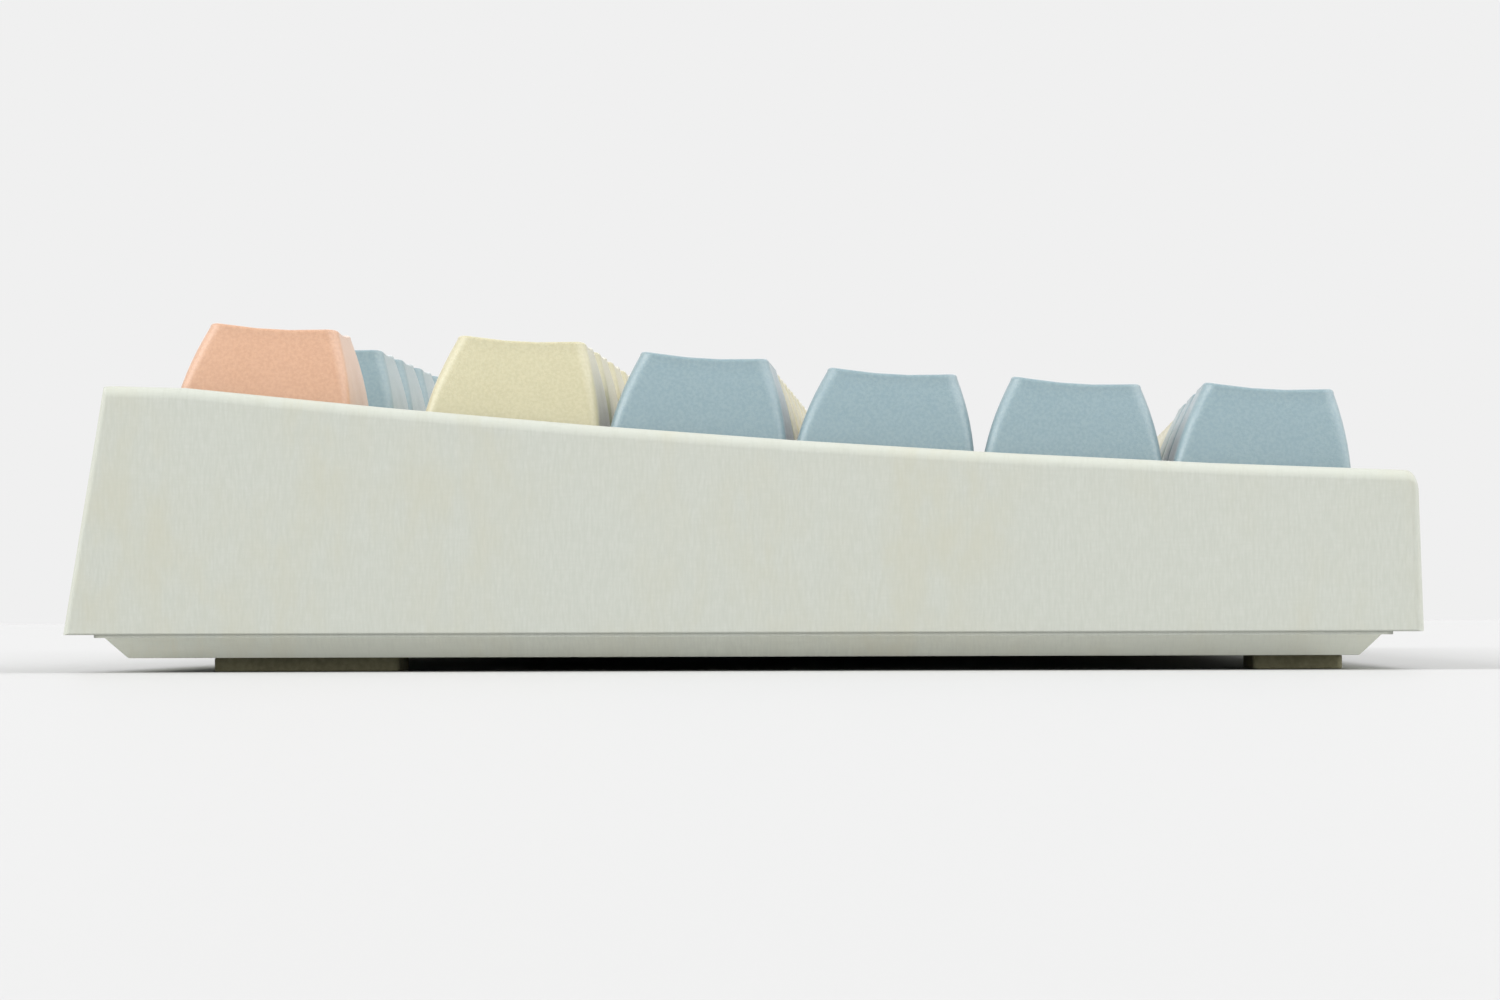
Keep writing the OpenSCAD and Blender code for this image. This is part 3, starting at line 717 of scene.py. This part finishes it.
# ---- Floor, light and camera ----
FLOOR_HALF = 30
floor_mesh = bpy.data.meshes.new("floor")
bm = bmesh.new()
bmesh.ops.create_grid(bm, x_segments=2, y_segments=2, size=FLOOR_HALF)
bm.to_mesh(floor_mesh)
bm.free()
floor = bpy.data.objects.new("floor", floor_mesh)
bpy.context.scene.collection.objects.link(floor)
paper = Look("floor_paper", rough=0.45, specular=0.3)
paper.color(srgb(182, 182, 182))
paper.normal(paper.bump(paper.noise(paper.coords, 900, 2), 0.00002, 0.1))
floor_mesh.materials.append(paper.m)

world = bpy.data.worlds.new("studio")
bpy.context.scene.world = world
world.use_nodes = True
world.node_tree.nodes["Background"].inputs["Color"].default_value = srgb(240, 240, 240)
world.node_tree.nodes["Background"].inputs["Strength"].default_value = 1.0


def sun(name, toward, strength, angle):
    """Light that comes from the direction toward, spread over an angle."""
    data = bpy.data.lights.new(name, "SUN")
    data.energy = strength
    data.angle = math.radians(angle)
    obj = bpy.data.objects.new(name, data)
    obj.rotation_euler = Vector(toward).to_track_quat("Z", "Y").to_euler()
    bpy.context.scene.collection.objects.link(obj)


sun("front_softbox", (-0.1, -1.0, 0.75), 2.5, 70)
sun("rear_softbox", (-0.35, 1.0, 0.75), 2.9, 50)
sun("side_reflector", (-1.0, 0.0, 0.1), 0.8, 36)

CAMERA_FROM_SIDE, CAMERA_Y, CAMERA_Z = 0.4896, -0.0238, 0.0050
YAW, PITCH_UP, ROLL = math.radians(2.649), math.radians(1.411), math.radians(-0.172)
SENSOR_MM, LENS_MM = 36, 118.0
camera_data = bpy.data.cameras.new("camera")
camera_data.sensor_width = SENSOR_MM
camera_data.lens = LENS_MM
camera_data.clip_start = 0.01
camera_data.clip_end = 100
camera = bpy.data.objects.new("camera", camera_data)
ahead = Vector((math.cos(YAW) * math.cos(PITCH_UP), math.sin(YAW) * math.cos(PITCH_UP),
                math.sin(PITCH_UP)))
right = ahead.cross(Vector((0, 0, 1))).normalized()
up = right.cross(ahead)
right, up = (right * math.cos(ROLL) + up * math.sin(ROLL), up * math.cos(ROLL) - right * math.sin(ROLL))
place = Matrix.Translation((case_low.x - CAMERA_FROM_SIDE, CAMERA_Y, CAMERA_Z))
camera.matrix_world = place @ Matrix((right, up, -ahead)).transposed().to_4x4()
bpy.context.scene.collection.objects.link(camera)
bpy.context.scene.camera = camera
bpy.context.scene.view_settings.view_transform = "Standard"
